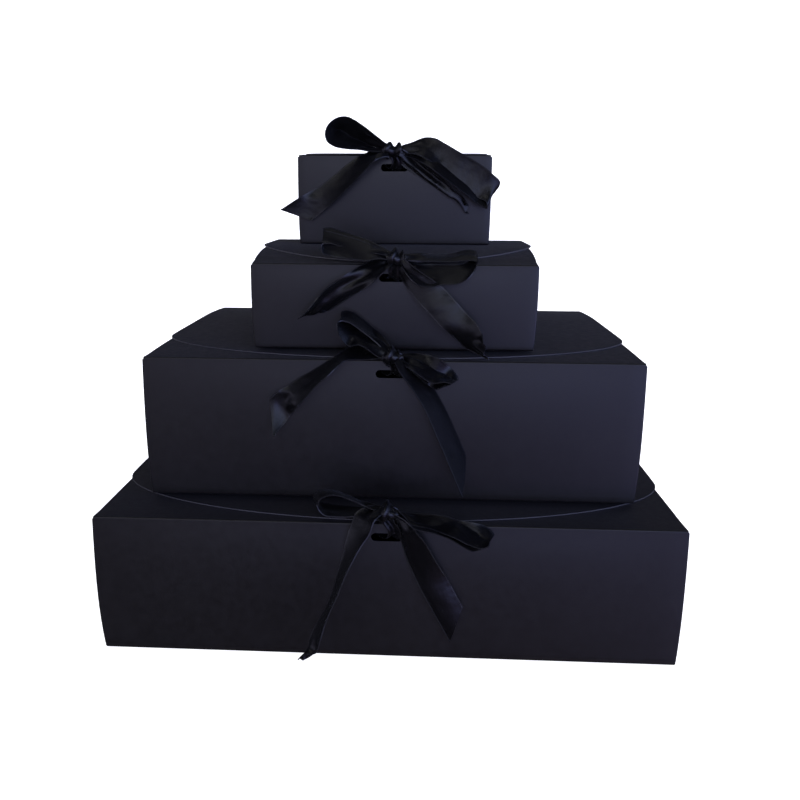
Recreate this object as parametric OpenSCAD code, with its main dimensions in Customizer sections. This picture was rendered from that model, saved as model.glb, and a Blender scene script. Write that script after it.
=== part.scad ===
// Graded set of four ribbon-tied gift boxes, stacked large to small.
// Each box is a folded card carton: a tray of five panels with glued corner
// tabs, two side dust flaps, a front flap folded back from the front crease
// and a full lid flap hinged on the back wall, with an arched front edge.
// A satin ribbon runs through a slot in the front wall, the front flap and
// the lid, and is tied in a bow on the front crease.
// X is to the right, Y to the back, Z up. The origin is the centre of the
// lowest box's base. Millimetres.

/* [Card and ribbon] */
// Thickness of the card
card_t = 0.6; // [0.4:0.05:0.8]
// Air gap between two folded layers of card
layer_gap = 0.15; // [0.1:0.05:0.3]
// Width of the satin ribbon
ribbon_w = 15; // [12:0.5:15.5]
// Width of the ribbon slots
slot_w = 16.5; // [16:0.5:20]
// Height of the ribbon slots
slot_h = 4.4; // [4:0.2:6]
// Depth of the front-wall slot's middle below the front crease
slot_drop = 7.5; // [6:0.5:10]
// Distance of the top slots' middle behind the front crease
slot_back = 12; // [10:0.5:14]
// Width of the glued corner tabs
tab_w = 13; // [8:1:16]
// How far the lid's front edge stays behind the front crease
lid_apex = 3; // [2:0.5:5]

/* [Extra large box] */
// Width
xl_w = 310; // [280:0.5:340]
// Depth
xl_d = 257; // [240:0.5:280]
// Height to the closed lid's edge
xl_h = 77; // [60:0.5:90]
// Rise of the lid's arch above its edges
xl_rise = 2.3; // [1:0.1:8]
// Where the lid's arched edge meets its sides, behind the front crease
xl_arc = 72; // [50:1:86]
// Length of the side dust flaps
xl_dust = 58; // [34:1:58]
// Length of the front flap
xl_front = 104; // [83:1:104]

/* [Large box] */
// Width
large_w = 269; // [250:0.5:285]
// Depth
large_d = 213.5; // [200:0.5:225]
// Height to the closed lid's edge
large_h = 79; // [60:0.5:90]
// Rise of the lid's arch above its edges
large_rise = 2.0; // [1:0.1:8]
// Where the lid's arched edge meets its sides, behind the front crease
large_arc = 65; // [45:1:78]
// Length of the side dust flaps
large_dust = 50; // [30:1:50]
// Length of the front flap
large_front = 88; // [70:1:88]
// Sideways place on the stack
large_x = 0.4; // [-3:0.1:3]
// Set-back of the front behind the lowest box's front
large_y = 31.6; // [26.6:0.1:36.6]

/* [Medium box] */
// Width
medium_w = 155.5; // [140:0.5:175]
// Depth
medium_d = 159; // [145:0.5:170]
// Height to the closed lid's edge
medium_h = 48; // [40:0.5:60]
// Rise of the lid's arch above its edges
medium_rise = 6.4; // [1:0.1:8]
// Where the lid's arched edge meets its sides, behind the front crease
medium_arc = 60; // [42:1:72]
// Length of the side dust flaps
medium_dust = 34; // [20:1:34]
// Length of the front flap
medium_front = 72; // [57:1:72]
// Sideways place on the stack
medium_x = 1.0; // [-3:0.1:3]
// Set-back of the front behind the lowest box's front
medium_y = 50; // [45:0.1:55]

/* [Small box] */
// Width
small_w = 115; // [100:0.5:125]
// Depth
small_d = 99; // [90:0.5:108]
// Height to the closed lid's edge
small_h = 53.5; // [45:0.5:62]
// Rise of the lid's arch above its edges
small_rise = 1.1; // [0.5:0.1:8]
// Where the lid's arched edge meets its sides, behind the front crease
small_arc = 40; // [28:1:48]
// Length of the side dust flaps
small_dust = 24; // [14:1:24]
// Length of the front flap
small_front = 44; // [35:1:44]
// Sideways place on the stack
small_x = -0.9; // [-3:0.1:3]
// Set-back of the front behind the lowest box's front
small_y = 110.8; // [105.8:0.1:115.8]

/* [Hidden] */
// Box order: 0 extra large, 1 large, 2 medium, 3 small
BW = [xl_w, large_w, medium_w, small_w];
BD = [xl_d, large_d, medium_d, small_d];
BH = [xl_h, large_h, medium_h, small_h];
BR = [xl_rise, large_rise, medium_rise, small_rise];
BA = [xl_arc, large_arc, medium_arc, small_arc];
DF = [xl_dust, large_dust, medium_dust, small_dust];
FF = [xl_front, large_front, medium_front, small_front];
BX = [0, large_x, medium_x, small_x];
BF = [0, large_y, medium_y, small_y];
// Clearance between a wall's top and the flap that lies on it
e = 0.05;
// Clearance between a lid's arch and the box that stands on it
stack_gap = 0.1;
t = card_t;
g = layer_gap;
function base_z(i) = i == 0 ? 0 : base_z(i - 1) + BH[i - 1] + BR[i - 1] + stack_gap;
// Undersides of the closed layers, from the top down
function z_lid(i) = BH[i] - t;
function z_front(i) = BH[i] - 2 * t - g;
function z_dust(i) = BH[i] - 3 * t - 2 * g;
// Height of the front crease
function z_crease(i) = z_front(i) + t;
// Height of the lid's arch at a distance y behind the front: rises from the
// front edge, is level in the middle and falls to the back crease
function arch(i, y) = let (d = BD[i])
  y <= 0 || y >= d ? 0 :
  y < 0.38 * d ? BR[i] * sin(90 * y / (0.38 * d)) :
  y > 0.70 * d ? BR[i] * sin(90 * (d - y) / (0.30 * d)) : BR[i];
// Top of the lid's highest part over the ribbon's slot
function z_tie(i) = BH[i] + arch(i, slot_back + 3.2) + 0.35;
card = [0.10, 0.10, 0.12];
card_in = [0.14, 0.14, 0.16];
satin = [0.03, 0.03, 0.04];

// Puts a box's own frame (middle of its front's bottom edge) on the stack
module place(i) translate([BX[i], BF[i] - xl_d / 2, base_z(i)]) children();
// Half of a rounded slot's outline, as a list of points
function slot_points(w, h) = [for (s = [-1, 1], k = [-4 : 4]) let (a = k * 22.5 + (s > 0 ? 0 : 180)) [s * (w - h) / 2 + h / 2 * cos(a), h / 2 * sin(a)]];
module slot2d() polygon(slot_points(slot_w, slot_h));

module bottom_panel(i) translate([-BW[i] / 2, 0, 0]) cube([BW[i], BD[i], t]);
module front_wall(i) difference() {
  translate([-BW[i] / 2, 0, t + e]) cube([BW[i], t, z_front(i) - e - t - e]);
  translate([0, t + 1, z_crease(i) - slot_drop]) rotate([90, 0, 0]) linear_extrude(height = t + 2) slot2d();
}
module back_wall(i) translate([-BW[i] / 2, BD[i] - t, t + e]) cube([BW[i], t, z_lid(i) - e - t - e]);
module side_wall(i, s) translate([s * (BW[i] - t) / 2 - t / 2, t + e, t + e]) cube([t, BD[i] - 2 * t - 2 * e, z_dust(i) - e - t - e]);
// One glued tab, upright, in the corner x = 0 with its free end tapered
module tab(i) rotate([90, 0, 0]) linear_extrude(height = t)
  polygon([[0, 1.5], [tab_w, 6], [tab_w, z_dust(i) - 7], [0, z_dust(i) - 2]]);
module glue_tabs(i) for (s = [-1, 1]) {
  translate([s * (BW[i] / 2 - t - e), 2 * t + e, t + e]) mirror([s > 0 ? 1 : 0, 0, 0]) tab(i);
  translate([s * (BW[i] / 2 - t - e), BD[i] - t - e, t + e]) mirror([s > 0 ? 1 : 0, 0, 0]) tab(i);
}
// Plan of the lid: straight hinge edge and sides, elliptical front edge
function lid_plan(i) = let (a = BW[i] / 2 - 0.8)
  concat([[a, BD[i]], [-a, BD[i]]],
    [for (k = [0 : 20]) let (s = -cos(180 * k / 20)) [a * s, lid_apex + (BA[i] - lid_apex) * (1 - sqrt(max(0, 1 - s * s)))]]);
// Side view of the lid: level card bent into the arch
function lid_side(i) = let (n = 16, y0 = 0.5)
  concat([for (k = [0 : n]) let (y = y0 + (BD[i] - y0) * k / n) [y, z_lid(i) + arch(i, y)]],
    [for (k = [n : -1 : 0]) let (y = y0 + (BD[i] - y0) * k / n) [y, BH[i] + arch(i, y)]]);
module lid_flap(i) intersection() {
  rotate([90, 0, 90]) translate([0, 0, -BW[i]]) linear_extrude(height = 2 * BW[i]) polygon(lid_side(i));
  linear_extrude(height = 2 * BH[i]) difference() {
    polygon(lid_plan(i));
    translate([0, slot_back]) slot2d();
  }
}
module front_flap(i) translate([0, 0, z_front(i)]) linear_extrude(height = t) difference() {
  polygon([[-BW[i] / 2, 0], [BW[i] / 2, 0], [BW[i] / 2 - 1, 1.5], [BW[i] / 2 - 3, FF[i] - 12], [BW[i] / 2 - 15, FF[i]],
           [15 - BW[i] / 2, FF[i]], [3 - BW[i] / 2, FF[i] - 12], [1 - BW[i] / 2, 1.5]]);
  translate([0, slot_back]) slot2d();
}
// Dust flap with both corners cut at 45 degrees, hinged at x = 0
module dust_flap(i) linear_extrude(height = t)
  polygon([[0, 3], [DF[i], 3 + DF[i]], [DF[i], BD[i] - 3 - DF[i]], [0, BD[i] - 3]]);
module side_dust_flap(i, s) translate([s * BW[i] / 2, 0, z_dust(i)]) mirror([s > 0 ? 1 : 0, 0, 0]) dust_flap(i);
// Ribbon ring round the front crease, through the wall, flap and lid slots
module ribbon_band(i) let (c = z_crease(i), zs = c - slot_drop, zt = z_tie(i), rt = 0.5)
  rotate([90, 0, 90]) translate([0, 0, -ribbon_w / 2]) linear_extrude(height = ribbon_w) difference() {
    polygon([[-0.9, zs - rt / 2], [slot_back + rt / 2, zs - rt / 2], [slot_back + rt / 2, zt + rt], [-0.9, zt + rt]]);
    polygon([[rt - 0.9, zs + rt / 2], [slot_back - rt / 2, zs + rt / 2], [slot_back - rt / 2, zt], [rt - 0.9, zt]]);
  }
// Knot that hugs the ring where it turns over the crease
module bow_knot(i) let (c = z_crease(i), zb = z_tie(i) + 0.55)
  rotate([90, 0, 90]) translate([0, 0, -7]) linear_extrude(height = 14)
    polygon([[-1, c - 4], [-4.5, c - 3.5], [-6.5, c + 1], [-6, zb + 4], [-2, zb + 6.5], [4, zb + 6.5], [8, zb + 3.5], [8.5, zb], [-1, zb]]);
// Flat soft piece in the plane of the front, seen from the front; its points
// are measured from the middle of the front crease
module soft_plate(i, pts, front, thick, lean = 0)
  translate([0, -front, z_crease(i)]) rotate([lean, 0, 0]) rotate([90, 0, 0]) linear_extrude(height = thick) polygon(pts);
module bow_loops(i) { soft_plate(i, LOOP_L[i], LOOP_Y[i][0], LOOP_Y[i][1]); soft_plate(i, LOOP_R[i], LOOP_Y[i][2], LOOP_Y[i][3]); }
module bow_tails(i) { soft_plate(i, TAIL_L[i], 1.4, 1.6, TAIL_LEAN[i][0]); soft_plate(i, TAIL_R[i], 1.4, 1.6, TAIL_LEAN[i][1]); }
// Outlines of the bows' loops and tails, one per box
LOOP_L = [
  [[-7.1, 6], [-20, 5], [-34, 8], [-38, 13], [-36, 18], [-26, 18], [-7.1, 12]],
  [[-7.1, 5], [-18, 5], [-28, 10], [-30, 20], [-24, 27], [-7.1, 27]],
  [[-7.1, 4], [-22, 6], [-36, 7], [-40, 14], [-36, 19], [-24, 18], [-7.1, 12]],
  [[-7.1, 3], [-22, 6], [-36, 9], [-42, 15], [-41, 21], [-29, 23], [-14, 17], [-7.1, 11]]];
LOOP_R = [
  [[7.1, 8], [26, 8], [46, 2], [56, -3], [48, -12], [30, -7], [7.1, -2]],
  [[7.1, 5], [20, 3], [34, -5], [37, -14], [28, -16], [14, -8], [7.1, -4]],
  [[7.1, 7], [25, 6], [40, 0], [45, -9], [38, -10], [24, -5], [7.1, -2]],
  [[7.1, 9], [20, 10], [39, 3], [58, -10], [63, -16], [55, -30], [44, -22], [28, -8], [7.1, -2]]];
// Front offset and thickness of the left and right loops
LOOP_Y = [[-9, 12, 3.5, 6], [3.5, 6, 3.5, 5], [3.5, 8, 3.5, 5], [3.5, 8, 3.5, 6]];
TAIL_L = [
  [[-7.6, -1], [-20, -4], [-34, -40], [-49, -76], [-40, -76.5], [-18, -30], [-7.6, -10]],
  [[-7.6, -1], [-22, -1], [-65, -22], [-64, -42], [-30, -20], [-7.6, -8]],
  [[-7.6, -1], [-22, -2], [-38, -11], [-53, -30], [-40, -27], [-23, -18], [-7.6, -8]],
  [[-7.6, -1], [-36, -12], [-70, -32], [-50, -38], [-26, -24], [-7.6, -9]]];
TAIL_R = [
  [[7.6, -2], [18, -8], [41, -44], [35, -63], [18, -40], [7.6, -16]],
  [[7.6, -4], [14, -7], [41, -51], [40, -73], [22, -45], [7.6, -16]],
  [[7.6, -4], [25, -12], [46, -31], [53, -49.5], [35, -40], [7.6, -16]],
  [[7.6, -4], [20, -10], [46, -32], [44, -37], [18, -18], [7.6, -11]]];
TAIL_LEAN = [[-9, 0], [0, 0], [0, -19], [0, 0]];

// Extra large box
module xl_bottom_panel() color(card) place(0) bottom_panel(0);
module xl_front_wall() color(card) place(0) front_wall(0);
module xl_back_wall() color(card) place(0) back_wall(0);
module xl_left_wall() color(card) place(0) side_wall(0, -1);
module xl_right_wall() color(card) place(0) side_wall(0, 1);
module xl_glue_tabs() color(card_in) place(0) glue_tabs(0);
module xl_lid_flap() color(card) place(0) lid_flap(0);
module xl_front_flap() color(card) place(0) front_flap(0);
module xl_left_dust_flap() color(card_in) place(0) side_dust_flap(0, -1);
module xl_right_dust_flap() color(card_in) place(0) side_dust_flap(0, 1);
module xl_ribbon_band() color(satin) place(0) ribbon_band(0);
module xl_bow_knot() color(satin) place(0) bow_knot(0);
module xl_bow_loops() color(satin) place(0) bow_loops(0);
module xl_bow_tails() color(satin) place(0) bow_tails(0);
// Large box
module large_bottom_panel() color(card) place(1) bottom_panel(1);
module large_front_wall() color(card) place(1) front_wall(1);
module large_back_wall() color(card) place(1) back_wall(1);
module large_left_wall() color(card) place(1) side_wall(1, -1);
module large_right_wall() color(card) place(1) side_wall(1, 1);
module large_glue_tabs() color(card_in) place(1) glue_tabs(1);
module large_lid_flap() color(card) place(1) lid_flap(1);
module large_front_flap() color(card) place(1) front_flap(1);
module large_left_dust_flap() color(card_in) place(1) side_dust_flap(1, -1);
module large_right_dust_flap() color(card_in) place(1) side_dust_flap(1, 1);
module large_ribbon_band() color(satin) place(1) ribbon_band(1);
module large_bow_knot() color(satin) place(1) bow_knot(1);
module large_bow_loops() color(satin) place(1) bow_loops(1);
module large_bow_tails() color(satin) place(1) bow_tails(1);
// Medium box
module medium_bottom_panel() color(card) place(2) bottom_panel(2);
module medium_front_wall() color(card) place(2) front_wall(2);
module medium_back_wall() color(card) place(2) back_wall(2);
module medium_left_wall() color(card) place(2) side_wall(2, -1);
module medium_right_wall() color(card) place(2) side_wall(2, 1);
module medium_glue_tabs() color(card_in) place(2) glue_tabs(2);
module medium_lid_flap() color(card) place(2) lid_flap(2);
module medium_front_flap() color(card) place(2) front_flap(2);
module medium_left_dust_flap() color(card_in) place(2) side_dust_flap(2, -1);
module medium_right_dust_flap() color(card_in) place(2) side_dust_flap(2, 1);
module medium_ribbon_band() color(satin) place(2) ribbon_band(2);
module medium_bow_knot() color(satin) place(2) bow_knot(2);
module medium_bow_loops() color(satin) place(2) bow_loops(2);
module medium_bow_tails() color(satin) place(2) bow_tails(2);
// Small box
module small_bottom_panel() color(card) place(3) bottom_panel(3);
module small_front_wall() color(card) place(3) front_wall(3);
module small_back_wall() color(card) place(3) back_wall(3);
module small_left_wall() color(card) place(3) side_wall(3, -1);
module small_right_wall() color(card) place(3) side_wall(3, 1);
module small_glue_tabs() color(card_in) place(3) glue_tabs(3);
module small_lid_flap() color(card) place(3) lid_flap(3);
module small_front_flap() color(card) place(3) front_flap(3);
module small_left_dust_flap() color(card_in) place(3) side_dust_flap(3, -1);
module small_right_dust_flap() color(card_in) place(3) side_dust_flap(3, 1);
module small_ribbon_band() color(satin) place(3) ribbon_band(3);
module small_bow_knot() color(satin) place(3) bow_knot(3);
module small_bow_loops() color(satin) place(3) bow_loops(3);
module small_bow_tails() color(satin) place(3) bow_tails(3);

xl_bottom_panel();
xl_front_wall();
xl_back_wall();
xl_left_wall();
xl_right_wall();
xl_glue_tabs();
xl_lid_flap();
xl_front_flap();
xl_left_dust_flap();
xl_right_dust_flap();
xl_ribbon_band();
xl_bow_knot();
xl_bow_loops();
xl_bow_tails();
large_bottom_panel();
large_front_wall();
large_back_wall();
large_left_wall();
large_right_wall();
large_glue_tabs();
large_lid_flap();
large_front_flap();
large_left_dust_flap();
large_right_dust_flap();
large_ribbon_band();
large_bow_knot();
large_bow_loops();
large_bow_tails();
medium_bottom_panel();
medium_front_wall();
medium_back_wall();
medium_left_wall();
medium_right_wall();
medium_glue_tabs();
medium_lid_flap();
medium_front_flap();
medium_left_dust_flap();
medium_right_dust_flap();
medium_ribbon_band();
medium_bow_knot();
medium_bow_loops();
medium_bow_tails();
small_bottom_panel();
small_front_wall();
small_back_wall();
small_left_wall();
small_right_wall();
small_glue_tabs();
small_lid_flap();
small_front_flap();
small_left_dust_flap();
small_right_dust_flap();
small_ribbon_band();
small_bow_knot();
small_bow_loops();
small_bow_tails();
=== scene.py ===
"""Graded stack of four ribbon-tied black card gift boxes: card panels, ribbons, materials, light and camera."""
import json
import math

import bmesh
import bpy
import numpy as np
from mathutils import Matrix, Vector, noise


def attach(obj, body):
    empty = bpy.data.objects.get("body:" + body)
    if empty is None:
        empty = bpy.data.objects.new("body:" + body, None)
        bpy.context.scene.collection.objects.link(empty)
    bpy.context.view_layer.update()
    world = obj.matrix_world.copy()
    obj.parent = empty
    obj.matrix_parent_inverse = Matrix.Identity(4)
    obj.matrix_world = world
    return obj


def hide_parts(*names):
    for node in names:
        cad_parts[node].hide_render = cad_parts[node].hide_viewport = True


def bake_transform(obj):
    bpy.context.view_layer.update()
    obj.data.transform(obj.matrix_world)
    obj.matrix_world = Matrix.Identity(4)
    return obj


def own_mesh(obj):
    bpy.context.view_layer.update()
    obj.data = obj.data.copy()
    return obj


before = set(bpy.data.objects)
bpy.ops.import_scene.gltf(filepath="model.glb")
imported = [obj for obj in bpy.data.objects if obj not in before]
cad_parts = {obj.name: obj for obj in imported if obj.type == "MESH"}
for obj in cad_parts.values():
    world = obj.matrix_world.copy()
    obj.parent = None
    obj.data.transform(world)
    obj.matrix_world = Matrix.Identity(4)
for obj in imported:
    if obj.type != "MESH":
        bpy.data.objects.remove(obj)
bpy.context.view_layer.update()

# ---------------------------------------------------------------- sizes, in millimetres, as in the CAD
NAMES = ["xl", "large", "medium", "small"]
W = [310, 269, 155.5, 115]
D = [257, 213.5, 159, 99]
H = [77, 79, 48, 53.5]
RISE = [2.3, 2.0, 6.4, 1.1]
ARC = [72, 65, 60, 40]
DUST = [58, 50, 34, 24]
FRONT = [104, 88, 72, 44]
X0 = [0, 0.4, 1.0, -0.9]
Y0 = [-128.5, -96.9, -78.5, -17.7]
Z0 = [0, 79.4, 160.5, 215.0]
T = 0.6          # card
GAP = 0.15       # between folded layers
RC = 0.9         # outer radius of a folded crease
APEX = 3.0
RIBBON = 15.0
BULGE_LEFT = [3.4, 2.2, 1.5, 0.9]
BULGE_RIGHT = [1.7, 2.0, 1.2, 0.5]
BULGE_FRONT = [1.7, 1.7, 1.0, 0.9]
BOW = [-0.6, 0.4, 2.6, 0.3]       # more swell half way back, where the lid and side flaps spring


def z_crease(i):
    return H[i] - T - GAP


def z_dust_top(i):
    return H[i] - 2 * T - 2 * GAP


def arch(i, y):
    d = D[i]
    if y <= 0 or y >= d:
        return 0.0
    if y < 0.38 * d:
        return RISE[i] * math.sin(math.pi / 2 * y / (0.38 * d))
    if y <= 0.7 * d:
        return RISE[i]
    return RISE[i] * math.sin(math.pi / 2 * (d - y) / (0.3 * d))


# ---------------------------------------------------------------- materials
def material(name):
    m = bpy.data.materials.new(name)
    m.use_nodes = True
    nt = m.node_tree
    b = nt.nodes["Principled BSDF"]
    return m, nt, b


def node(nt, kind, **values):
    n = nt.nodes.new(kind)
    for k, v in values.items():
        if k in n.inputs:
            n.inputs[k].default_value = v
        else:
            setattr(n, k, v)
    return n


def ramp(nt, stops):
    n = nt.nodes.new("ShaderNodeValToRGB")
    e = n.color_ramp.elements
    e[0].position, e[0].color = stops[0][0], (*stops[0][1], 1)
    e[1].position, e[1].color = stops[-1][0], (*stops[-1][1], 1)
    for p, c in stops[1:-1]:
        x = e.new(p)
        x.color = (*c, 1)
    return n


def card_material(name, dark, light, rough=(0.36, 0.48), bump=0.10):
    m, nt, b = material(name)
    co = node(nt, "ShaderNodeTexCoord")
    fine = node(nt, "ShaderNodeTexNoise", Scale=900.0, Detail=4.0, Roughness=0.62)
    fibre = node(nt, "ShaderNodeTexNoise", Scale=260.0, Detail=5.0, Roughness=0.7)
    cloud = node(nt, "ShaderNodeTexNoise", Scale=14.0, Detail=3.0, Roughness=0.5)
    speck = node(nt, "ShaderNodeTexVoronoi", Scale=700.0)
    for n in (fine, fibre, cloud, speck):
        nt.links.new(co.outputs["Object"], n.inputs["Vector"])
    mix = node(nt, "ShaderNodeMath", operation="MULTIPLY_ADD")
    mix.inputs[1].default_value = 0.45
    nt.links.new(cloud.outputs["Fac"], mix.inputs[0])
    half = node(nt, "ShaderNodeMath", operation="MULTIPLY")
    half.inputs[1].default_value = 0.55
    nt.links.new(fibre.outputs["Fac"], half.inputs[0])
    nt.links.new(half.outputs[0], mix.inputs[2])
    col = ramp(nt, [(0.30, dark), (0.70, light)])
    nt.links.new(mix.outputs[0], col.inputs["Fac"])
    nt.links.new(col.outputs["Color"], b.inputs["Base Color"])
    r = node(nt, "ShaderNodeMapRange")
    r.inputs["From Min"].default_value = 0.3
    r.inputs["From Max"].default_value = 0.7
    r.inputs["To Min"].default_value = rough[0]
    r.inputs["To Max"].default_value = rough[1]
    nt.links.new(fibre.outputs["Fac"], r.inputs["Value"])
    nt.links.new(r.outputs["Result"], b.inputs["Roughness"])
    add = node(nt, "ShaderNodeMath", operation="ADD")
    nt.links.new(fine.outputs["Fac"], add.inputs[0])
    sp = node(nt, "ShaderNodeMath", operation="MULTIPLY")
    sp.inputs[1].default_value = 0.35
    nt.links.new(speck.outputs["Distance"], sp.inputs[0])
    nt.links.new(sp.outputs[0], add.inputs[1])
    bp = node(nt, "ShaderNodeBump", Strength=bump, Distance=0.0002)
    nt.links.new(add.outputs[0], bp.inputs["Height"])
    nt.links.new(bp.outputs["Normal"], b.inputs["Normal"])
    b.inputs["Specular IOR Level"].default_value = SPEC_CARD
    b.inputs["Sheen Weight"].default_value = 0.03
    b.inputs["Sheen Roughness"].default_value = 0.5
    b.inputs["Sheen Tint"].default_value = (0.85, 0.85, 1.0, 1.0)
    return m


def satin_material(name, dull=False):
    m, nt, b = material(name)
    uv = node(nt, "ShaderNodeUVMap", uv_map="UVMap")
    # warp threads run along the ribbon, weft floats across it; UV is in metres
    sep = node(nt, "ShaderNodeSeparateXYZ")
    nt.links.new(uv.outputs["UV"], sep.inputs["Vector"])
    weft = node(nt, "ShaderNodeTexWave", Scale=520.0, Distortion=1.4, Detail=2.0)
    weft.wave_type, weft.bands_direction = "BANDS", "X"
    weft.inputs["Detail Scale"].default_value = 0.6
    warp = node(nt, "ShaderNodeTexWave", Scale=900.0, Distortion=0.8, Detail=1.0)
    warp.wave_type, warp.bands_direction = "BANDS", "Y"
    stretch = node(nt, "ShaderNodeMapping")
    stretch.inputs["Scale"].default_value = (45.0, 1400.0, 1.0)
    streak = node(nt, "ShaderNodeTexNoise", Scale=1.0, Detail=4.0, Roughness=0.65)
    nt.links.new(uv.outputs["UV"], stretch.inputs["Vector"])
    nt.links.new(stretch.outputs["Vector"], streak.inputs["Vector"])
    crinkle = node(nt, "ShaderNodeTexNoise", Scale=150.0, Detail=3.0, Roughness=0.55)
    for n in (weft, warp, crinkle):
        nt.links.new(uv.outputs["UV"], n.inputs["Vector"])
    # selvage: the outer 0.5 mm at each side is painted lighter, a painted highlight along the ribbon's edges
    edge = node(nt, "ShaderNodeMath", operation="SUBTRACT")
    nt.links.new(sep.outputs["Y"], edge.inputs[0])
    edge.inputs[1].default_value = 0.0075
    ab = node(nt, "ShaderNodeMath", operation="ABSOLUTE")
    nt.links.new(edge.outputs[0], ab.inputs[0])
    selvage_highlight_mask = node(nt, "ShaderNodeMapRange")
    selvage_highlight_mask.inputs["From Min"].default_value = 0.0066
    selvage_highlight_mask.inputs["From Max"].default_value = 0.0071
    nt.links.new(ab.outputs[0], selvage_highlight_mask.inputs["Value"])
    col = ramp(nt, [(0.25, (0.0012, 0.0012, 0.0018)), (0.75, (0.0034, 0.0034, 0.0046))])
    nt.links.new(streak.outputs["Fac"], col.inputs["Fac"])
    # painted highlight: the selvage mask mixes a lighter colour into both edges of the ribbon
    selvage_highlight_mix = node(nt, "ShaderNodeMixRGB")
    selvage_highlight_mix.inputs["Color2"].default_value = (0.010, 0.010, 0.013, 1)
    nt.links.new(col.outputs["Color"], selvage_highlight_mix.inputs["Color1"])
    nt.links.new(selvage_highlight_mask.outputs["Result"], selvage_highlight_mix.inputs["Fac"])
    nt.links.new(selvage_highlight_mix.outputs["Color"], b.inputs["Base Color"])
    r = node(nt, "ShaderNodeMapRange")
    r.inputs["From Min"].default_value = 0.25
    r.inputs["From Max"].default_value = 0.75
    r.inputs["To Min"].default_value = 0.50 if dull else 0.17
    r.inputs["To Max"].default_value = 0.66 if dull else 0.29
    nt.links.new(streak.outputs["Fac"], r.inputs["Value"])
    nt.links.new(r.outputs["Result"], b.inputs["Roughness"])
    hsum = node(nt, "ShaderNodeMath", operation="ADD")
    nt.links.new(weft.outputs["Fac"], hsum.inputs[0])
    nt.links.new(warp.outputs["Fac"], hsum.inputs[1])
    bp = node(nt, "ShaderNodeBump", Strength=0.22, Distance=0.00008)
    nt.links.new(hsum.outputs[0], bp.inputs["Height"])
    bp2 = node(nt, "ShaderNodeBump", Strength=0.35, Distance=0.0008)
    nt.links.new(crinkle.outputs["Fac"], bp2.inputs["Height"])
    nt.links.new(bp.outputs["Normal"], bp2.inputs["Normal"])
    nt.links.new(bp2.outputs["Normal"], b.inputs["Normal"])
    b.inputs["Specular IOR Level"].default_value = 0.10 if dull else SPEC_SATIN
    b.inputs["Anisotropic"].default_value = 0.55
    b.inputs["Sheen Weight"].default_value = 0.02
    b.inputs["Sheen Roughness"].default_value = 0.35
    b.inputs["Sheen Tint"].default_value = (0.75, 0.82, 1.0, 1.0)
    return m


SPEC_CARD = 0.38
SPEC_SATIN = 0.28
CARD = card_material("black_card", (0.0034, 0.0028, 0.0032), (0.0060, 0.0052, 0.0058), (0.30, 0.41))
EDGE = card_material("card_cut_edge", (0.040, 0.039, 0.045), (0.085, 0.082, 0.092), (0.55, 0.7), 0.2)
INSIDE = card_material("card_inside", (0.012, 0.0115, 0.0135), (0.022, 0.021, 0.024), (0.6, 0.75), 0.16)
SATIN = satin_material("black_satin")
REVERSE = satin_material("black_satin_reverse", dull=True)      # the woven back of single-face satin
MM = 0.001


# ---------------------------------------------------------------- mesh helpers
def to_object(name, verts, faces, mats, face_mats=None, smooth=35.0, uvs=None):
    me = bpy.data.meshes.new(name)
    me.from_pydata([tuple(float(c) * MM for c in v) for v in verts], [], [tuple(int(k) for k in f) for f in faces])
    for m in mats:
        me.materials.append(m)
    if face_mats is not None:
        me.polygons.foreach_set("material_index", np.array(face_mats, np.int32))
    if uvs is not None:
        layer = me.uv_layers.new(name="UVMap")
        loop_vertex = np.zeros(len(me.loops), np.int32)
        me.loops.foreach_get("vertex_index", loop_vertex)
        layer.data.foreach_set("uv", np.array(uvs, float)[loop_vertex].ravel())
    me.update()
    o = bpy.data.objects.new(name, me)
    bpy.context.scene.collection.objects.link(o)
    bm = bmesh.new()
    bm.from_mesh(me)
    bmesh.ops.remove_doubles(bm, verts=bm.verts, dist=1e-7)
    bmesh.ops.recalc_face_normals(bm, faces=bm.faces)
    bm.to_mesh(me)
    bm.free()
    shade(me, smooth)
    return o


def shade(me, angle):
    me.polygons.foreach_set("use_smooth", [True] * len(me.polygons))
    me.set_sharp_from_angle(angle=math.radians(angle))


def cut_slot(o, centre, along, up, width, height, depth):
    """Cuts a stadium-shaped slot through a card panel. along and up are unit axes, all in millimetres."""
    r = height / 2
    c, a, u = Vector(centre), Vector(along), Vector(up)
    n = a.cross(u)
    pts = []
    for side, base in ((1, width / 2 - r), (-1, -(width / 2 - r))):
        for k in range(13):
            ang = -math.pi / 2 + math.pi * k / 12
            pts.append((side * 0 + base + side * r * math.cos(ang), r * math.sin(ang) * side))
    verts, faces = [], []
    for s in (-1, 1):
        for p, q in pts:
            verts.append(c + a * p + u * q + n * (s * depth))
    k = len(pts)
    faces.append(list(range(k)))
    faces.append(list(range(2 * k - 1, k - 1, -1)))
    for j in range(k):
        faces.append([j, (j + 1) % k, k + (j + 1) % k, k + j])
    cutter = to_object("slot_cutter", verts, faces, [EDGE])
    mod = o.modifiers.new("slot", "BOOLEAN")
    mod.operation, mod.solver, mod.object = "DIFFERENCE", "EXACT", cutter
    mod.material_mode = "TRANSFER"
    apply_modifiers(o)
    bpy.data.objects.remove(cutter)


def apply_modifiers(o):
    dg = bpy.context.evaluated_depsgraph_get()
    me = bpy.data.meshes.new_from_object(o.evaluated_get(dg), preserve_all_data_layers=True, depsgraph=dg)
    old = o.data
    o.modifiers.clear()
    o.data = me
    bpy.data.meshes.remove(old)


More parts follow.
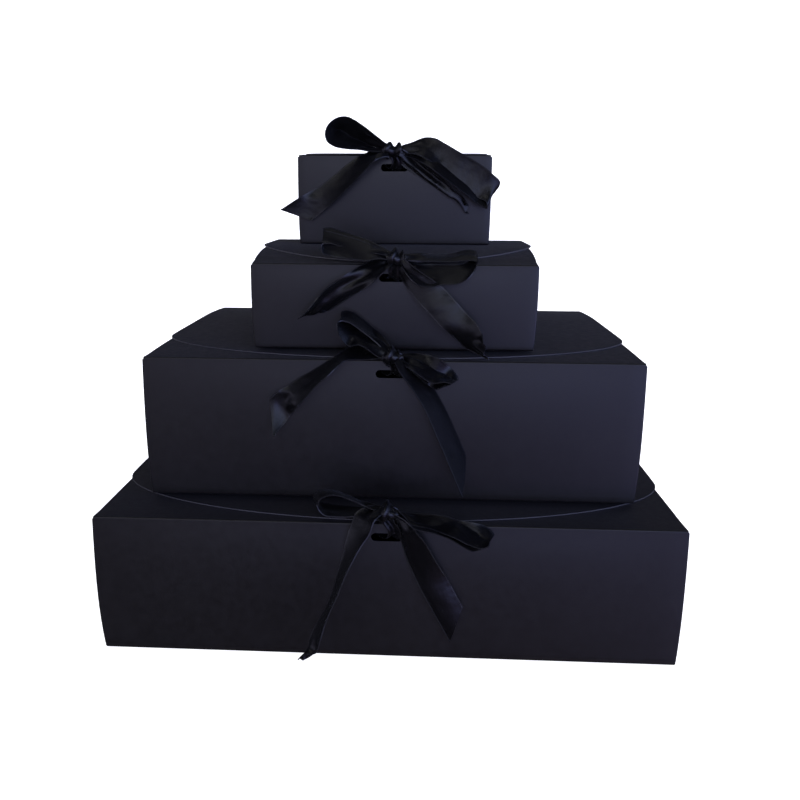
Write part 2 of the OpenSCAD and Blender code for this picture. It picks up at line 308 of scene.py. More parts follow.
def sheet_solid(name, grid, normals, thick, mats, edge_mat=1, uvs=None, smooth=35.0):
    """A thin solid from a grid of points (rows x columns) and their outward normals: grid is the outer face, the inner face is thick inside it."""
    g = np.array(grid, float)
    nrm = np.array(normals, float)
    rows, cols = g.shape[:2]
    inner = g - nrm * thick
    verts = np.concatenate([g.reshape(-1, 3), inner.reshape(-1, 3)])
    n = rows * cols
    faces, fm = [], []
    for r in range(rows - 1):
        for c in range(cols - 1):
            a = r * cols + c
            faces.append((a, a + 1, a + cols + 1, a + cols)); fm.append(0)
            faces.append((n + a, n + a + cols, n + a + cols + 1, n + a + 1)); fm.append(2 if len(mats) > 2 else 0)
    ring = [c for c in range(cols)] + [r * cols + cols - 1 for r in range(1, rows)] + [(rows - 1) * cols + c for c in range(cols - 2, -1, -1)] + [r * cols for r in range(rows - 2, 0, -1)]
    for k in range(len(ring)):
        a, b = ring[k], ring[(k + 1) % len(ring)]
        faces.append((a, n + a, n + b, b)); fm.append(edge_mat)
    if uvs is not None:
        uvs = np.concatenate([np.array(uvs).reshape(-1, 2)] * 2)
    return to_object(name, verts, faces, mats, fm, smooth, uvs)


def place(i, p):
    """A box's own point (x from its middle, y behind its front, z above its base) in the stack's frame, in millimetres."""
    return (X0[i] + p[0], Y0[i] + p[1], Z0[i] + p[2])


def soften(i, x, y, z):
    """The slight swell of a folded carton above its base: the sides stand out a little all the way up, the front only between its crease and base."""
    h = min(max(z / (H[i] - 3), 0), 1)
    f = 1 - (1 - h) ** 3.5
    sx = (1 if x > 0 else -1) * (abs(x) / (W[i] / 2)) ** 3
    dx = sx * f * ((BULGE_RIGHT[i] if x > 0 else BULGE_LEFT[i]) + BOW[i] * (1 - abs(2 * y / D[i] - 1) ** 3))
    wy = 1 - abs(2 * x / W[i]) ** 3
    sy = (2 * y / D[i] - 1)
    sy = (1 if sy > 0 else -1) * sy * sy
    g = (1 - (1 - h) ** 2.2) * (1 - h ** 5)
    dy = sy * BULGE_FRONT[i] * g * (0.25 + 0.75 * wy)
    return x + dx, y + dy, z


def ease(n, power=1.0):
    """n + 1 values from -1 to 1, closer together at the ends."""
    return [math.sin(math.pi / 2 * (2 * k / n - 1)) if power else 2 * k / n - 1 for k in range(n + 1)]


# ---------------------------------------------------------------- the cartons
def tray(i):
    """The folded tray: four walls and the bottom from one sheet of card, with rounded folds, the ribbon slot and square-cut rims."""
    p = NAMES[i]
    w, d = W[i] / 2, D[i]
    rc = 0.9
    ring = []            # (x, y, outward nx, ny, top height)
    top_f, top_s, top_b = z_crease(i) - RC, z_dust_top(i) - RC, H[i] - RC
    nx, ny = 30, 24

    def line(a, b, n, normal, top):
        for k in range(n):
            f = k / n
            ring.append((a[0] + (b[0] - a[0]) * f, a[1] + (b[1] - a[1]) * f, *normal, top))

    def corner(cx, cy, a0, t0, t1):
        for k in range(6):
            a = a0 + math.pi / 2 * k / 6
            f = k / 6
            ring.append((cx + rc * math.cos(a), cy + rc * math.sin(a), math.cos(a), math.sin(a), t0 + (t1 - t0) * f))

    line((-w + rc, 0), (w - rc, 0), nx, (0, -1), top_f)
    corner(w - rc, rc, -math.pi / 2, top_f, top_s)
    line((w, rc), (w, d - rc), ny, (1, 0), top_s)
    corner(w - rc, d - rc, 0, top_s, top_b)
    line((w - rc, d), (-w + rc, d), nx, (0, 1), top_b)
    corner(-w + rc, d - rc, math.pi / 2, top_b, top_s)
    line((-w, d - rc), (-w, rc), ny, (-1, 0), top_s)
    corner(-w + rc, rc, math.pi, top_s, top_f)
    m = len(ring)
    profile = []         # (inset from the outer face, height as a share of the wall or a fixed height)
    rb = 0.9
    for k in range(6):
        a = math.pi / 2 * k / 5
        profile.append((rb - rb * math.sin(a), rb - rb * math.cos(a), None))
    levels = [0.04, 0.1, 0.2, 0.3, 0.4, 0.5, 0.6, 0.7, 0.8, 0.9, 0.96, 1.0]
    for s in levels:
        profile.append((0, None, s))
    outer = len(profile)
    for s in reversed(levels):
        profile.append((T, None, s))
    for k in range(4):
        a = math.pi / 2 * (1 - k / 3)
        profile.append((T + (rb - T) * (1 - math.sin(a)), T + (rb - T) * (1 - math.cos(a)) if k else T + (rb - T), None))
    verts, faces, fm = [], [], []
    for inset, z, share in profile:
        for x, y, ax, ay, top in ring:
            zz = z if share is None else rb + (top - rb) * share
            q = soften(i, x, y, zz)
            verts.append(place(i, (q[0] - ax * inset, q[1] - ay * inset, q[2])))
    for r in range(len(profile) - 1):
        for c in range(m):
            a, b = r * m + c, r * m + (c + 1) % m
            faces.append((a, b, b + m, a + m))
            fm.append(1 if r == outer - 1 else (0 if r < outer else 2))
    faces.append(tuple(range(m - 1, -1, -1))); fm.append(0)
    last = (len(profile) - 1) * m
    faces.append(tuple(last + c for c in range(m))); fm.append(2)
    o = to_object(p + "_tray_folded", verts, faces, [CARD, EDGE, INSIDE], fm)
    cut_slot(o, place(i, (0, 0, z_crease(i) - 7.5)), (1, 0, 0), (0, 0, 1), 16.5, 4.4, 3)
    shade(o.data, 35)
    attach(o, p + "_tray")
    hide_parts(*[f"{p}_{n}" for n in ("bottom_panel", "front_wall", "back_wall", "left_wall", "right_wall")])
    return o


def tabs(i):
    """The glued corner tabs inside the tray, one folded from each end of the side walls, following the walls."""
    p = NAMES[i]
    w, d = W[i] / 2, D[i]
    verts, faces, fm = [], [], []
    for sx in (-1, 1):
        for front in (True, False):
            base = len(verts)
            rows, cols = 9, 8
            top = z_dust_top(i) - 2.6
            for layer in (0, 1):
                for r in range(rows):
                    for c in range(cols):
                        u = c / (cols - 1)
                        z = 3 + (top - 3) * r / (rows - 1)
                        run = 13 * u
                        lean = 1.6 * u * abs(2 * r / (rows - 1) - 1) ** 3       # tapered ends
                        z = z + (lean if r == 0 else (-lean if r == rows - 1 else 0))
                        x = sx * (w - T - 0.35 - run)
                        y = (T + 0.12 + layer * T) if front else (d - T - 0.12 - layer * T)
                        q = soften(i, x, y, z)
                        verts.append(place(i, q))
            n = rows * cols
            for layer in (0, 1):
                for r in range(rows - 1):
                    for c in range(cols - 1):
                        a = base + layer * n + r * cols + c
                        faces.append((a, a + 1, a + cols + 1, a + cols)); fm.append(2)
            ring = [c for c in range(cols)] + [r * cols + cols - 1 for r in range(1, rows)] + [(rows - 1) * cols + c for c in range(cols - 2, -1, -1)] + [r * cols for r in range(rows - 2, 0, -1)]
            for k in range(len(ring)):
                a, b = base + ring[k], base + ring[(k + 1) % len(ring)]
                faces.append((a, b, b + n, a + n)); fm.append(1)
    o = to_object(p + "_glued_tabs", verts, faces, [CARD, EDGE, INSIDE], fm)
    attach(o, p + "_tray")
    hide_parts(p + "_glue_tabs")
    return o


def flap(i, kind):
    """A flap of card with its rounded fold: kind is front, left, right or lid. The sheet runs from a straight stub on the wall, round the fold, and out flat."""
    p = NAMES[i]
    w, d = W[i] / 2, D[i]
    stub = 0.8
    if kind == "front":
        top, length, half = z_crease(i), FRONT[i], w
    elif kind == "lid":
        top, length, half = H[i], d, w
    else:
        top, length, half = z_dust_top(i), DUST[i], d / 2
    us = ease(56 if kind == "lid" else 30)
    # along the sheet: the stub, the fold, then the flat run given as a share 0 to 1
    rows = [("stub", 0.0)]
    rows += [("fold", k / 7) for k in range(8)]
    n_run = 26 if kind == "lid" else 12
    rows += [("run", (k + 1) / n_run) for k in range(n_run)]

    def half_width(s):
        """Half the sheet's width at a distance s from the fold's line."""
        if kind == "front":
            if s < 1.5:
                return half - 0.8 - (s / 1.5) * 0.4
            if s < length - 12:
                return half - 1.2 - 2 * (s - 1.5) / (length - 13.5)
            return half - 3.2 - (s - (length - 12))
        if kind == "lid":
            return half - 0.8
        return half - 3 - max(0, s - 1.0)

    grid, nrm = [], []
    for what, f in rows:
        gr, nr = [], []
        for u in us:
            if kind == "lid":
                s_edge = abs(u)
                y_front = APEX + (ARC[i] - APEX) * (1 - math.sqrt(max(0, 1 - s_edge * s_edge)))
                end = d - y_front
            else:
                end = length
            hw = half_width(0)
            if what == "stub":
                dist, z, a = 0.0, top - RC - stub, 0.0
            elif what == "fold":
                a = math.pi / 2 * f
                dist, z = RC - RC * math.cos(a), top - RC + RC * math.sin(a)
            else:
                a = math.pi / 2
                dist, z = RC + (end - RC) * f, top
                hw = half_width(dist)
            lateral = u * hw
            if kind == "lid":
                y = d - dist
                lift = arch(i, y) * min(1, max(0, (dist - RC) / 8))
                z += lift
                q, nn = (lateral, y, z), (0, math.cos(a), math.sin(a))
            elif kind == "front":
                z += arch(i, dist) * min(1, max(0, (dist - RC) / 8))      # springs up under the lid
                q, nn = (lateral, dist, z), (0, -math.cos(a), math.sin(a))
            else:
                sx = -1 if kind == "left" else 1
                q, nn = (sx * (w - dist), d / 2 + lateral, z), (sx * math.cos(a), 0, math.sin(a))
            gr.append(place(i, soften(i, *q))); nr.append(nn)
        grid.append(gr); nrm.append(nr)
    name = {"front": "front_flap", "lid": "lid_flap", "left": "left_dust_flap", "right": "right_dust_flap"}[kind]
    o = sheet_solid(f"{p}_{name}_folded", grid, nrm, T, [CARD, EDGE, INSIDE])
    if kind in ("front", "lid"):
        cut_slot(o, place(i, (0, 12, top)), (1, 0, 0), (0, 1, 0), 16.5, 4.4, 3)
    shade(o.data, 35)
    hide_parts(f"{p}_{name}")
    if kind == "front":
        a, b = (0, 0, top - RC), (0, RC * 1.2, top)
    elif kind == "lid":
        a, b = (0, d, top - RC), (0, d - RC * 1.2, top)
    else:
        sx = -1 if kind == "left" else 1
        a, b = (sx * w, d / 2, top - RC), (sx * (w - RC * 1.2), d / 2, top)
    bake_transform(o)
    return o


# ---------------------------------------------------------------- the ribbons
def smooth_path(points, step):
    """Points along a smooth curve through the given ones, about a step apart."""
    p = np.array(points, float)
    seg = np.maximum(np.linalg.norm(np.diff(p[:, :3], axis=0) * 0.5 + np.diff(p[:, 3:6], axis=0) * 0.5, axis=1), 0.3)
    t = np.concatenate([[0], np.cumsum(seg)])
    n = max(int(t[-1] / step), 12)
    out = []
    m = np.zeros_like(p)
    for k in range(len(p)):
        if k == 0:
            m[k] = (p[1] - p[0]) / (t[1] - t[0])
        elif k == len(p) - 1:
            m[k] = (p[-1] - p[-2]) / (t[-1] - t[-2])
        else:
            a, b = (p[k] - p[k - 1]) / (t[k] - t[k - 1]), (p[k + 1] - p[k]) / (t[k + 1] - t[k])
            wa, wb = t[k + 1] - t[k], t[k] - t[k - 1]
            m[k] = (a * wa + b * wb) / (wa + wb)
    for s in np.linspace(0, t[-1], n):
        k = min(int(np.searchsorted(t, s, side="right")) - 1, len(p) - 2)
        h = t[k + 1] - t[k]
        f = (s - t[k]) / h
        out.append((2 * f ** 3 - 3 * f ** 2 + 1) * p[k] + (f ** 3 - 2 * f ** 2 + f) * h * m[k] + (-2 * f ** 3 + 3 * f ** 2) * p[k + 1] + (f ** 3 - f ** 2) * h * m[k + 1])
    return np.array(out)


def strip(name, i, rails, body, squash=True, faces=None, deep=1.3, cup=0.0, pleats=3, seed=0, wave=0.18, slant=0.0, closed=False, replaces=()):
    """A satin ribbon strip between two rails (ax, ay, az, bx, by, bz), millimetres from the middle of the box's front crease. Where the rails come closer than the ribbon's width it gathers into pleats."""
    p = NAMES[i]
    r = smooth_path(rails, 1.1)
    A, B = r[:, :3], r[:, 3:6]
    n = len(r)
    cols = 17
    mid = (A + B) / 2
    tan = np.gradient(mid, axis=0)
    tan /= np.maximum(np.linalg.norm(tan, axis=1, keepdims=True), 1e-9)
    wid = B - A
    chord = np.linalg.norm(wid, axis=1)
    nor = np.cross(tan, wid)
    nor /= np.maximum(np.linalg.norm(nor, axis=1, keepdims=True), 1e-9)
    length = np.concatenate([[0], np.cumsum(np.linalg.norm(np.diff(mid, axis=0), axis=1))])
    grid, uv = [], []
    for k in range(n):
        w = chord[k]
        slack = max(0.0, RIBBON - w)
        amp = min(1.15 * math.sqrt(slack * 4 * w) / (math.pi * pleats), deep)
        row, uvr = [], []
        for c in range(cols):
            v = c / (cols - 1)
            x = A[k] + wid[k] * v
            off = cup * (1 - (2 * v - 1) ** 2) * min(1, w / RIBBON)
            off += amp * math.sin(pleats * math.pi * v + seed + 0.05 * length[k]) * (0.35 + 0.65 * math.sin(math.pi * v))
            off += wave * noise.noise(Vector((length[k] * 0.11 + seed * 7.3, v * 1.6, seed * 3.1)))
            off += 0.10 * noise.noise(Vector((length[k] * 0.45 + seed * 2.3, v * 4.0, 5.0 + seed)))
            row.append(x + nor[k] * off)
            uvr.append((length[k] * MM, v * RIBBON * MM))
        grid.append(row); uv.append(uvr)
    g = np.array(grid)
    # keep off the table
    base = np.array([X0[i], Y0[i], Z0[i] + z_crease(i)])
    g = g + base
    g[:, :, 2] = np.maximum(g[:, :, 2], 0.25)
    du = np.gradient(g, axis=0)
    dv = np.gradient(g, axis=1)
    nn = np.cross(du, dv)
    nn /= np.maximum(np.linalg.norm(nn, axis=2, keepdims=True), 1e-9)
    thick = 0.26
    # the selvages are a little thicker
    rib = np.array([0.10 if c in (0, cols - 1) else 0.0 for c in range(cols)])[None, :, None]
    outer = g + nn * (thick / 2 + rib)
    solid = sheet_solid(f"{p}_{name}", outer, nn * (1 + 2 * rib / thick), thick, faces or [SATIN], edge_mat=0, uvs=uv, smooth=50)
    total = float(length[-1])
    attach(solid, body)
    if replaces:
        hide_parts(*replaces)
    flat = RIBBON * total * MM * MM
    bm = bmesh.new()
    bm.from_mesh(solid.data)
    share = sum(q.calc_area() for q in bm.faces) / 2 / flat
    bm.free()
    SHARES[solid.name] = round(share, 2)
    if squash:
        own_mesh(solid)
    LENGTHS[solid.name] = round(total, 1)
    return solid


LENGTHS = {}
SHARES = {}


def ring_rails(cx, cy, cz, ry, rz, half, n=18, lean=0.0, pinch=0.0):
    """Rails of a turn of ribbon wound round the X axis: a closed oval in the Y-Z plane with its width along X."""
    out = []
    for k in range(n + 1):
        a = 2 * math.pi * k / n - math.pi / 2
        y, z = cy + ry * math.cos(a), cz + rz * math.sin(a)
        h = half * (1 - pinch * (0.5 - 0.5 * math.cos(2 * a)))
        out.append((cx - h + lean * math.sin(a), y, z, cx + h + lean * math.sin(a), y, z))
    return out


# The ribbons' rails, by box and piece
RAILS = {
    "xl": {
        "left_tail": [
            (-5.1, 0.4, 9.8, -1.1, -6.4, 8.5),
            (-10.3, -0.4, 9.4, -4.0, -10.6, 7.7),
            (-15.4, -1.7, 7.0, -5.9, -13.3, 6.0),
            (-18.4, -4.4, 0.7, -8.3, -15.6, -0.3),
            (-20.9, -5.9, -7.6, -12.3, -18.1, -5.9),
            (-22.9, -7.0, -16.2, -16.2, -20.0, -12.8),
            (-25.5, -7.9, -24.9, -19.9, -21.1, -20.6),
            (-28.4, -8.5, -36.5, -24.2, -22.1, -31.5),
            (-31.8, -9.3, -44.8, -27.6, -22.7, -39.6),
            (-36.0, -10.4, -52.4, -30.6, -23.6, -47.7),
            (-39.6, -11.9, -59.9, -32.9, -24.7, -55.9),
            (-40.7, -14.2, -65.6, -35.1, -24.4, -62.6),
            (-45.0, -21.0, -69.1, -40.7, -21.0, -65.5),
        ],
        "right_tail": [
            (2.3, 0.4, 5.5, 5.6, -5.4, 9.9),
            (6.1, -0.7, -0.6, 10.8, -8.4, 5.7),
            (7.7, -1.3, -7.6, 15.0, -11.3, 0.9),
            (9.4, -1.8, -14.6, 20.8, -8.2, -7.3),
            (12.7, -2.6, -23.2, 25.7, -6.4, -16.7),
            (17.1, -3.5, -32.9, 31.7, -3.5, -27.3),
            (23.6, -3.0, -45.5, 37.8, -3.0, -38.7),
            (34.4, -3.0, -65.4, 40.9, -3.0, -44.4),
        ],
        "left_loop": [
            (-3.2, -6.0, 8.3, -3.0, 2.0, 8.7),
            (-12.2, -3.5, 5.5, -11.5, 11.5, 4.6),
            (-20.7, -1.5, 3.7, -20.2, 13.5, 4.2),
            (-28.6, -0.9, 3.6, -30.0, 13.9, 5.0),
            (-33.9, -0.7, 4.8, -37.6, 13.7, 6.9),
            (-36.3, -0.7, 8.3, -40.0, 13.7, 9.9),
            (-35.2, -0.9, 12.5, -38.1, 13.9, 12.8),
            (-31.2, -0.9, 14.8, -33.5, 13.9, 13.7),
            (-25.4, -0.9, 15.0, -27.3, 13.9, 12.7),
            (-19.1, -1.3, 13.1, -20.5, 13.3, 10.2),
            (-13.3, -2.3, 11.1, -14.2, 12.3, 7.9),
            (-8.0, -3.9, 9.6, -8.6, 7.9, 7.3),
            (-2.7, -5.0, 8.5, -3.1, 3.0, 7.8),
        ],
        "right_loop": [
            (1.2, 1.4, 8.5, 2.5, -6.4, 8.0),
            (8.0, 3.0, 6.4, 8.8, -9.0, 5.3),
            (15.4, 2.8, 5.3, 14.5, -11.8, 1.9),
            (23.8, 2.0, 5.2, 23.2, -12.0, 0.0),
            (31.6, 1.6, 4.2, 32.0, -11.6, -2.9),
            (38.4, 0.6, 2.5, 39.3, -10.6, -7.5),
            (45.1, -1.4, 2.3, 44.6, -8.6, -10.9),
            (51.9, -0.7, 0.0, 48.8, -13.1, -7.8),
            (56.2, -1.1, -4.7, 52.6, -15.6, -5.1),
            (53.6, -1.2, -5.3, 50.1, -15.7, -6.2),
            (46.3, -0.8, -1.7, 43.0, -15.1, -5.0),
            (37.4, -0.7, 1.8, 35.4, -15.2, -1.4),
            (26.0, 5.4, 2.1, 24.8, -9.4, 0.4),
            (13.3, 4.5, 3.8, 12.9, -8.5, 2.5),
            (2.2, 2.0, 7.2, 3.0, -6.0, 6.8),
        ],
    },
    "large": {
        "left_loop": [
            (0.1, 2.1, 5.0, -0.7, -6.1, 1.6),
            (-4.4, 4.7, 8.9, -6.5, -6.7, 3.2),
            (-10.5, 7.0, 12.0, -12.4, -7.0, 7.0),
            (-17.1, 7.4, 15.2, -17.8, -6.4, 9.2),
            (-21.9, 6.4, 18.3, -22.7, -4.4, 8.0),
            (-24.6, 6.7, 21.5, -26.2, -4.7, 11.8),
            (-26.7, 8.0, 23.5, -28.3, -5.0, 16.1),
            (-27.6, 9.6, 24.6, -28.8, -4.6, 20.1),
            (-25.6, 11.7, 25.0, -27.1, -2.7, 21.4),
            (-21.3, 13.3, 23.9, -22.7, -1.3, 20.5),
            (-16.4, 13.8, 20.6, -17.6, -0.8, 17.2),
            (-10.8, 13.4, 15.8, -11.9, -1.4, 13.0),
            (-5.2, 10.4, 11.3, -6.2, -2.4, 9.0),
            (-0.0, 5.2, 6.1, -1.3, -3.2, 3.2),
        ],
        "left_tail": [
            (-1.5, 2.8, 3.8, -0.7, -4.8, 1.3),
            (-8.4, 8.9, 5.4, -5.6, -2.9, 0.9),
            (-15.2, 12.3, 6.1, -12.7, -1.3, 0.4),
            (-20.7, 11.9, 6.0, -19.1, -1.9, 0.3),
            (-25.3, 7.3, 4.3, -24.6, -7.3, 0.6),
            (-30.8, 1.3, 1.2, -28.4, -13.3, -1.8),
            (-36.5, -1.5, -2.2, -32.4, -15.5, -5.7),
            (-44.7, -1.5, -7.1, -38.9, -14.5, -11.7),
            (-50.8, -1.4, -10.5, -44.5, -12.7, -18.1),
            (-57.4, -1.7, -15.0, -49.8, -10.4, -24.5),
            (-62.2, -3.0, -18.1, -54.7, -3.0, -31.4),
            (-66.2, -1.9, -21.5, -63.4, -8.6, -42.3),
        ],
        "right_loop": [
            (3.9, 1.8, 3.2, 3.6, -5.8, 0.8),
            (9.3, 3.5, 3.5, 7.9, -8.5, -1.1),
            (15.8, 2.5, 3.5, 12.2, -9.5, -4.6),
            (21.7, -0.3, 3.0, 16.5, -7.7, -9.0),
            (27.0, -4.5, 1.7, 20.9, -4.5, -13.1),
            (31.4, -0.8, -2.8, 24.6, -8.2, -13.9),
            (34.7, -1.1, -6.2, 28.1, -13.6, -11.4),
            (36.4, -1.4, -10.0, 32.2, -15.8, -9.2),
            (33.7, -1.4, -8.7, 29.5, -15.8, -8.5),
            (27.2, -1.1, -5.0, 22.8, -14.7, -9.3),
            (20.1, -0.7, -1.3, 15.9, -14.4, -5.7),
            (12.6, -0.7, 1.3, 10.6, -13.0, -2.4),
            (5.0, 2.9, 1.7, 4.6, -4.9, -0.2),
        ],
        "right_tail": [
            (2.6, -8.3, 0.9, 5.1, -0.7, 1.2),
            (4.8, -12.1, -3.2, 11.0, -0.7, -2.0),
            (8.1, -12.8, -8.3, 17.6, -1.2, -7.8),
            (12.4, -13.3, -14.1, 23.0, -2.7, -14.0),
            (17.8, -13.5, -22.6, 28.1, -2.5, -22.8),
            (22.7, -12.9, -33.1, 33.2, -2.1, -32.9),
            (27.2, -12.3, -43.7, 38.0, -1.9, -43.5),
            (39.5, -15.6, -71.5, 41.5, -1.7, -52.0),
        ],
    },
    "medium": {
        "left_loop": [
            (0.1, 1.6, 5.1, -0.8, -5.6, 1.8),
            (-6.6, 3.5, 7.9, -7.7, -8.5, 3.0),
            (-13.2, 3.2, 10.6, -14.6, -9.2, 2.2),
            (-20.8, 2.3, 13.3, -21.7, -8.3, 2.7),
            (-28.5, 2.1, 15.4, -28.8, -7.1, 3.6),
            (-34.5, 2.2, 17.0, -34.9, -6.2, 4.6),
            (-38.5, 3.3, 17.7, -38.6, -6.3, 6.1),
            (-39.7, 6.2, 18.7, -39.1, -6.2, 10.1),
            (-36.2, 8.3, 19.3, -35.6, -4.3, 11.1),
            (-29.1, 9.4, 17.2, -28.6, -3.4, 9.5),
            (-21.4, 10.2, 14.8, -21.0, -3.2, 7.9),
            (-13.5, 9.9, 12.1, -13.3, -3.9, 6.4),
            (-6.2, 8.2, 8.7, -6.2, -4.2, 4.9),
            (0.6, 3.8, 5.2, -0.3, -3.8, 2.7),
        ],
        "left_tail": [
            (-3.1, 0.1, 4.6, -0.7, -6.1, 0.2),
            (-8.6, 0.1, 3.8, -3.3, -10.1, -2.1),
            (-14.0, -0.8, 1.3, -7.4, -12.2, -5.7),
            (-19.9, -3.1, -1.8, -12.9, -9.9, -10.8),
            (-26.1, -6.9, -5.3, -19.7, -5.1, -15.7),
            (-32.5, -8.9, -9.2, -25.9, -3.1, -19.8),
            (-38.4, -10.1, -14.3, -32.2, -1.5, -24.0),
            (-45.4, -11.9, -22.8, -36.6, -1.4, -26.5),
            (-52.6, -5.8, -30.0, -38.3, -4.2, -26.7),
        ],
        "right_loop": [
            (4.5, 1.0, 4.1, 4.7, -7.0, -0.2),
            (7.8, 0.9, 1.9, 8.0, -9.9, -5.3),
            (12.2, -0.7, 0.2, 12.9, -11.8, -9.8),
            (18.7, -0.8, 0.3, 18.9, -10.2, -11.3),
            (26.3, -0.7, 0.3, 26.3, -11.6, -10.0),
            (33.9, -0.7, 0.1, 34.2, -12.4, -9.3),
            (39.9, 1.3, 1.3, 39.8, -11.3, -6.7),
            (44.4, 5.0, 4.1, 44.0, -9.0, -1.3),
            (44.6, 10.1, 6.7, 44.5, -4.1, 2.0),
            (39.8, 12.6, 6.9, 39.8, -1.6, 2.3),
            (32.1, 13.3, 5.0, 32.2, -1.3, 1.7),
            (24.3, 13.4, 4.2, 24.7, -1.4, 1.5),
            (15.9, 11.3, 5.2, 16.5, -3.3, 2.0),
            (5.5, 3.7, 5.2, 5.7, -3.7, 2.2),
        ],
        "right_tail": [
            (1.2, 0.8, 1.3, 4.6, -5.8, 4.5),
            (3.0, -0.9, -4.5, 9.6, -9.9, 0.1),
            (5.8, -1.4, -9.9, 16.1, -9.0, -4.2),
            (9.7, -4.7, -15.5, 22.0, -8.9, -7.9),
            (14.7, -8.4, -21.0, 27.5, -8.4, -12.2),
            (21.3, -10.0, -27.5, 34.0, -10.0, -19.0),
            (27.9, -11.2, -34.6, 40.6, -11.2, -26.0),
            (34.0, -9.9, -39.4, 45.1, -14.1, -30.2),
            (40.2, -8.3, -44.8, 48.0, -16.7, -35.2),
            (51.4, -20.6, -48.8, 48.7, -20.7, -39.4),
        ],
    },
    "small": {
        "left_loop": [
            (-4.9, -5.3, 1.6, -4.0, 2.3, 4.3),
            (-13.1, -5.4, 1.9, -12.6, 7.4, 4.5),
            (-22.1, -5.0, 2.7, -20.6, 9.0, 8.1),
            (-30.2, -3.3, 3.4, -27.3, 9.3, 11.0),
            (-37.3, -1.3, 5.3, -30.3, 9.3, 13.3),
            (-40.9, -0.5, 8.5, -32.9, 10.5, 14.6),
            (-41.5, -0.3, 13.6, -33.6, 12.3, 15.3),
            (-39.8, 0.4, 17.4, -33.1, 13.6, 14.5),
            (-35.1, 1.6, 21.1, -30.7, 13.4, 13.0),
            (-29.5, 2.8, 22.1, -27.5, 12.2, 10.6),
            (-24.4, 2.2, 20.1, -23.8, 11.8, 8.5),
            (-18.8, -0.3, 16.5, -20.1, 11.3, 7.0),
            (-12.8, -1.5, 12.1, -15.1, 9.5, 5.5),
            (-4.4, -3.8, 5.7, -5.2, 3.8, 3.5),
        ],
        "right_loop": [
            (3.2, 1.2, 5.4, 3.4, -5.2, 0.5),
            (9.7, 1.8, 7.4, 9.9, -7.8, 0.1),
            (16.8, 1.0, 9.8, 15.8, -9.0, -1.3),
            (23.3, -2.2, 9.6, 21.2, -7.8, -4.1),
            (29.8, -4.8, 6.3, 26.5, -7.2, -8.1),
            (37.4, -7.5, 1.8, 33.1, -7.5, -13.3),
            (44.5, -8.0, -2.1, 39.1, -8.0, -17.8),
            (51.6, -8.5, -6.3, 45.0, -8.5, -21.8),
            (57.5, -9.0, -10.9, 50.4, -9.0, -25.3),
            (62.4, -7.0, -15.9, 54.4, -12.0, -27.5),
            (60.6, -3.7, -20.1, 55.0, -12.3, -31.0),
            (54.8, -1.4, -18.3, 49.8, -11.0, -28.7),
            (46.4, -1.3, -13.1, 42.0, -11.8, -23.0),
            (36.1, -1.0, -6.8, 31.9, -12.4, -15.6),
            (25.9, -0.7, -1.0, 22.4, -13.0, -8.8),
            (15.2, 4.0, 3.8, 12.9, -7.0, -3.0),
            (4.4, 1.9, 4.2, 4.6, -4.9, -0.0),
        ],
        "left_tail": [
            (-4.5, 0.4, 3.3, -3.0, -6.4, -0.7),
            (-11.0, 0.2, 3.0, -7.0, -10.2, -1.4),
            (-17.0, -0.7, 1.0, -10.9, -13.7, -3.5),
            (-22.3, -1.2, -1.4, -15.3, -12.8, -7.7),
            (-28.3, -1.3, -5.4, -20.7, -11.7, -13.1),
            (-34.9, -1.4, -10.7, -26.4, -10.6, -18.9),
            (-42.2, -1.6, -16.2, -33.1, -9.4, -25.3),
            (-49.4, -1.8, -20.7, -39.9, -7.2, -30.9),
            (-56.5, -4.0, -24.7, -45.7, -4.0, -35.7),
            (-68.8, -4.0, -32.4, -50.0, -4.0, -39.0),
        ],
        "right_tail": [
            (1.0, -0.7, -0.5, 4.6, -7.1, 2.7),
            (4.6, -1.0, -6.3, 10.5, -4.8, -0.6),
            (10.0, -1.2, -10.3, 15.9, -5.0, -4.6),
            (16.7, -1.3, -14.7, 22.5, -5.9, -9.5),
            (23.9, -1.4, -19.3, 29.3, -6.6, -14.4),
            (31.2, -1.4, -23.7, 35.6, -8.1, -19.6),
            (37.8, -1.4, -27.1, 41.0, -7.6, -23.3),
            (44.6, -1.3, -34.5, 43.3, -6.2, -27.7),
        ],
    },
}

# Middle of each knot (x, y, z from the middle of the front crease) and the half width, depth and height of its turn
KNOT = [(-1.0, -1.9, 7.2, 5.0, 4.3, 3.9), (0.2, -2.1, 2.8, 4.6, 4.0, 3.6), (1.2, -2.3, 3.6, 4.2, 4.2, 4.0), (-1.2, -2.2, 2.6, 5.2, 4.2, 3.5)]
STRAP = [4.0, 3.2, 0.5, 1.6]        # where the strap leaves the slot, left to right
CUP = {"left_loop": 0.8, "right_loop": 0.6, "left_tail": 0.9, "right_tail": 0.9}


